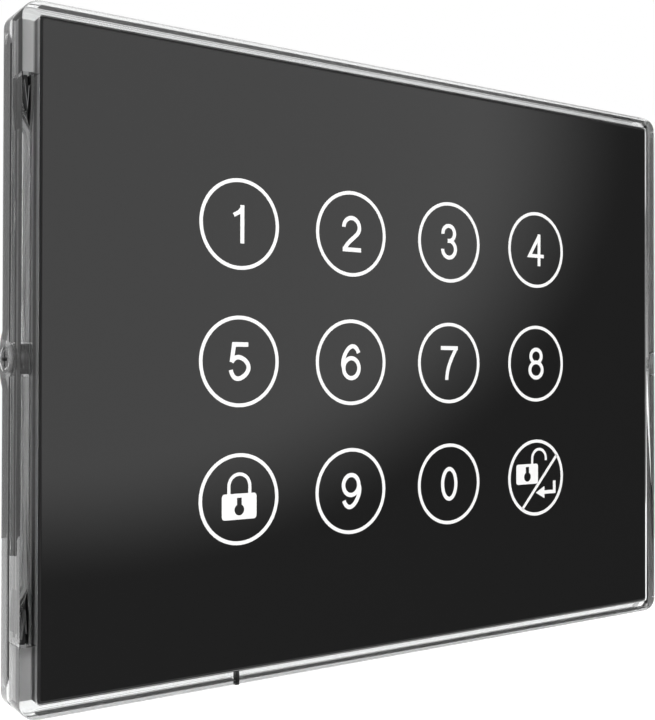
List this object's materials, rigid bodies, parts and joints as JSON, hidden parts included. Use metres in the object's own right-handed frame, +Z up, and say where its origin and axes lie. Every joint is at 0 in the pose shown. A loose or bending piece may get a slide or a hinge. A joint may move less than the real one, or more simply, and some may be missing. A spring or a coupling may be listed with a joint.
{
  "type": "alarm keypad panel",
  "caption": "Wide black glass alarm keypad with ringed touch keys in a clear polished frame, on a screw-fixed wall plate, with its electronics in a housing that sits in the wall box.",
  "frame": {"origin": "centre of the wall plane, where the back of the wall plate's rim meets the wall", "axes": "+Z up, +X to the right as the keys are read, +Y into the wall, so the glass faces -Y"},
  "size_m": [0.125, 0.028, 0.094],
  "materials": {
    "black_glass": "black glass, polished",
    "white_ink": "screen-printed ink",
    "black_plastic": "fine moulded texture",
    "seal_rubber": "closed-cell foam",
    "grey_foam": "closed-cell foam",
    "circuit_board": "solder-masked laminate",
    "copper": "bare copper",
    "white_plastic": "smooth",
    "clear_polycarbonate": "clear, polished",
    "satin_aluminium": "satin",
    "grey_plastic": "smooth",
    "spring_steel": "bright",
    "plated_steel": "zinc plated",
    "can_aluminium": "satin",
    "brass_pins": "gold-plated",
    "green_plastic": "moulded",
    "blue_plastic": "moulded",
    "screw_steel": "nickel plated",
    "orange_plastic": "moulded"
  },
  "bodies": {
    "wall_base": {"wall_plate": "plated_steel", "wall_rim": "clear_polycarbonate", "wall_seal": "grey_foam"},
    "front_unit": {"front_glass": "black_glass", "legend_rings": "white_ink", "legend_digits": "white_ink", "legend_lock": "white_ink", "legend_enter": "white_ink", "mask_film": "black_plastic", "glass_tape": "seal_rubber", "touch_board": "circuit_board", "touch_pads": "copper", "key_leds": "white_plastic", "edge_bond": "seal_rubber", "frame_inlays": "grey_plastic", "end_caps": "black_plastic", "side_rails": "satin_aluminium", "outer_frame": "clear_polycarbonate", "side_strip": "clear_polycarbonate", "release_tab": "black_plastic", "front_tray": "black_plastic", "snap_springs": "spring_steel", "rear_cup": "black_plastic", "cup_screws": "plated_steel", "main_board": "circuit_board", "board_screws": "plated_steel", "microcontroller": "black_plastic", "touch_chip": "black_plastic", "capacitors": "can_aluminium", "buzzer": "black_plastic", "header_socket": "black_plastic", "header_pins": "brass_pins", "terminal_block": "green_plastic", "terminal_clamps": "plated_steel", "selector_body": "blue_plastic", "program_body": "black_plastic", "tamper_body": "black_plastic"},
    "lock_screw_left": {"lock_screw_left": "screw_steel"},
    "lock_screw_right": {"lock_screw_right": "screw_steel"},
    "selector": {"selector_rotor": "white_plastic"},
    "program": {"program_button": "white_plastic"},
    "tamper": {"tamper_plunger": "white_plastic"},
    "terminal_1": {"terminal_button_1": "orange_plastic"},
    "terminal_2": {"terminal_button_2": "orange_plastic"},
    "terminal_3": {"terminal_button_3": "orange_plastic"},
    "terminal_4": {"terminal_button_4": "orange_plastic"}
  },
  "joints": [
    {"name": "front_release", "type": "slide", "parent": "wall_base", "child": "front_unit", "axis": [0, -1, 0], "range_m": [0, 0.006]},
    {"name": "lock_screw_left_travel", "type": "slide", "parent": "wall_base", "child": "lock_screw_left", "axis": [1, 0, 0], "range_m": [0, 0.0012]},
    {"name": "lock_screw_right_travel", "type": "slide", "parent": "wall_base", "child": "lock_screw_right", "axis": [-1, 0, 0], "range_m": [0, 0.0012]},
    {"name": "tamper_release", "type": "slide", "parent": "front_unit", "child": "tamper", "axis": [0, 1, 0], "range_m": [0, 0.0015]},
    {"name": "address_turn", "type": "hinge", "parent": "front_unit", "child": "selector", "pos_m": [-0.017, 0.0145, -0.012], "axis": [0, 1, 0], "range_deg": [0, 324]},
    {"name": "program_press", "type": "slide", "parent": "front_unit", "child": "program", "axis": [0, -1, 0], "range_m": [0, 0.0006], "stiffness_N_per_m": 400},
    {"name": "terminal_press_1", "type": "slide", "parent": "front_unit", "child": "terminal_1", "axis": [0, -1, 0], "range_m": [0, 0.0012], "stiffness_N_per_m": 400},
    {"name": "terminal_press_2", "type": "slide", "parent": "front_unit", "child": "terminal_2", "axis": [0, -1, 0], "range_m": [0, 0.0012], "stiffness_N_per_m": 400},
    {"name": "terminal_press_3", "type": "slide", "parent": "front_unit", "child": "terminal_3", "axis": [0, -1, 0], "range_m": [0, 0.0012], "stiffness_N_per_m": 400},
    {"name": "terminal_press_4", "type": "slide", "parent": "front_unit", "child": "terminal_4", "axis": [0, -1, 0], "range_m": [0, 0.0012], "stiffness_N_per_m": 400}
  ],
  "couplings": [
    {"joint": "tamper_release", "follows": "front_release", "ratio": 0.25}
  ]
}
